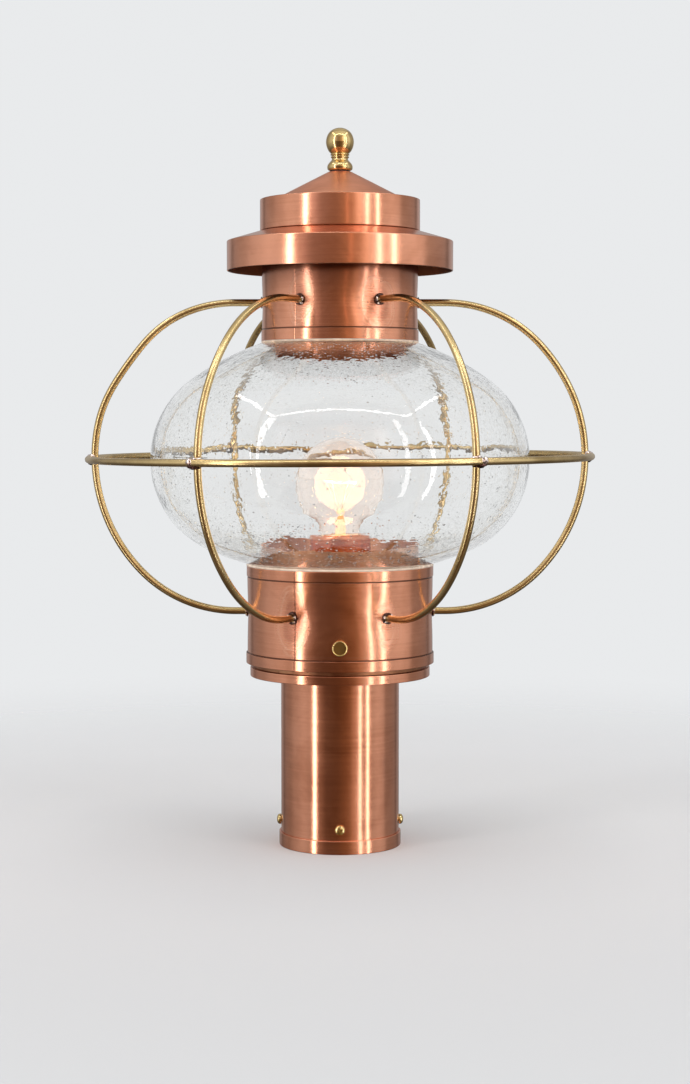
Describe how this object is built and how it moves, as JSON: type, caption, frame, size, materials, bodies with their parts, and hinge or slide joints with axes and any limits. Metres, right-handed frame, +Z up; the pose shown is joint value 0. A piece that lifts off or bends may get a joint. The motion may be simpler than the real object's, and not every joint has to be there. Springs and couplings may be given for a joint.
{
  "type": "onion post lantern",
  "caption": "Copper post lantern with a flattened seeded glass globe in a brass rod guard, a vented hood, a lift-off cap and finial, on a tube that slips over a post.",
  "frame": {"origin": "centre of the foot band's lower face, where the fitter tube opens", "axes": "+Z up the lantern's axis to the finial, -Y towards the thumb screw, +X to the right seen from the thumb screw; the post bore opens along -Z"},
  "size_m": [0.3391, 0.3392, 0.479],
  "materials": {
    "copper": "brushed copper sheet, lacquered",
    "brass": "satin drawn brass",
    "silver_solder": "bright solder",
    "seeded_glass": "clear with fine seeds",
    "bulb_glass": "clear",
    "filament": "glowing wire",
    "nickel": "satin",
    "black_glass": "gloss",
    "porcelain": "glazed",
    "plastic": "matt",
    "seal_rubber": "matt"
  },
  "bodies": {
    "base": {"post_tube": "copper", "foot_band": "copper", "base_pan": "copper", "base_cup": "copper", "nipple_flange": "brass", "lamp_nipple": "brass", "wire_bushing": "plastic", "nipple_nut": "brass", "socket_nut": "brass", "socket_plate": "copper", "socket_cover": "copper", "socket_body": "porcelain", "socket_shell": "brass", "socket_contact": "brass"},
    "set_screw_right": {"set_screw_right": "brass"},
    "set_screw_back": {"set_screw_back": "brass"},
    "set_screw_left": {"set_screw_left": "brass"},
    "set_screw_front": {"set_screw_front": "brass"},
    "cage": {"drum_sleeve": "copper", "drum_bead": "copper", "drum_top_band": "copper", "drum_guide_ring": "copper", "drum_shelf": "copper", "thumb_screw_boss": "brass", "globe_seat_lower": "copper", "globe_bowl": "seeded_glass", "globe_crown": "seeded_glass", "globe_seat_upper": "copper", "collar": "copper", "collar_band": "copper", "guard_ring": "brass", "guard_rib_1": "brass", "guard_rib_2": "brass", "guard_rib_3": "brass", "guard_rib_4": "brass", "guard_rib_5": "brass", "guard_rib_6": "brass", "solder_top": "silver_solder", "solder_bottom": "silver_solder", "solder_ring": "silver_solder", "hood": "copper", "vent_tube": "copper", "cap_bridge": "copper", "stud_nuts": "brass", "cap_stud": "brass"},
    "thumb_screw": {"thumb_screw": "brass"},
    "cap": {"cap_skirt": "copper", "cap_cone": "copper"},
    "finial_seal": {"finial_seal": "seal_rubber"},
    "finial": {"finial": "brass"},
    "bulb_tip": {"bulb_contact": "nickel"},
    "bulb": {"bulb_insulator": "black_glass", "bulb_base": "nickel", "bulb_glass": "bulb_glass", "bulb_stem": "bulb_glass", "bulb_leads": "nickel", "bulb_filament": "filament"}
  },
  "joints": [
    {"name": "cage_lift", "type": "slide", "parent": "base", "child": "cage", "axis": [0, 0, 1], "range_m": [0, 0.16]},
    {"name": "thumb_screw_travel", "type": "slide", "parent": "cage", "child": "thumb_screw", "axis": [0, -1, 0], "range_m": [0, 0.006]},
    {"name": "cap_lift", "type": "slide", "parent": "cage", "child": "cap", "axis": [0, 0, 1], "range_m": [0, 0.06]},
    {"name": "finial_rise", "type": "slide", "parent": "cap", "child": "finial_seal", "axis": [0, 0, 1], "range_m": [0, 0.01017]},
    {"name": "finial_turn", "type": "hinge", "parent": "finial_seal", "child": "finial", "pos_m": [0, 0, 0.465], "axis": [0, 0, 1], "range_deg": [0, 2880]},
    {"name": "bulb_rise", "type": "slide", "parent": "base", "child": "bulb_tip", "axis": [0, 0, 1], "range_m": [0, 0.02178]},
    {"name": "bulb_turn", "type": "hinge", "parent": "bulb_tip", "child": "bulb", "pos_m": [0, 0, 0.18], "axis": [0, 0, 1], "range_deg": [0, 2160]},
    {"name": "set_screw_right_travel", "type": "slide", "parent": "base", "child": "set_screw_right", "axis": [1, 0, 0], "range_m": [0, 0.006]},
    {"name": "set_screw_back_travel", "type": "slide", "parent": "base", "child": "set_screw_back", "axis": [0, 1, 0], "range_m": [0, 0.006]},
    {"name": "set_screw_left_travel", "type": "slide", "parent": "base", "child": "set_screw_left", "axis": [-1, 0, 0], "range_m": [0, 0.006]},
    {"name": "set_screw_front_travel", "type": "slide", "parent": "base", "child": "set_screw_front", "axis": [0, -1, 0], "range_m": [0, 0.006]}
  ],
  "couplings": [
    {"joint": "finial_rise", "follows": "finial_turn", "m_per_rad": 0.00020213},
    {"joint": "bulb_rise", "follows": "bulb_turn", "m_per_rad": 0.00057757}
  ]
}
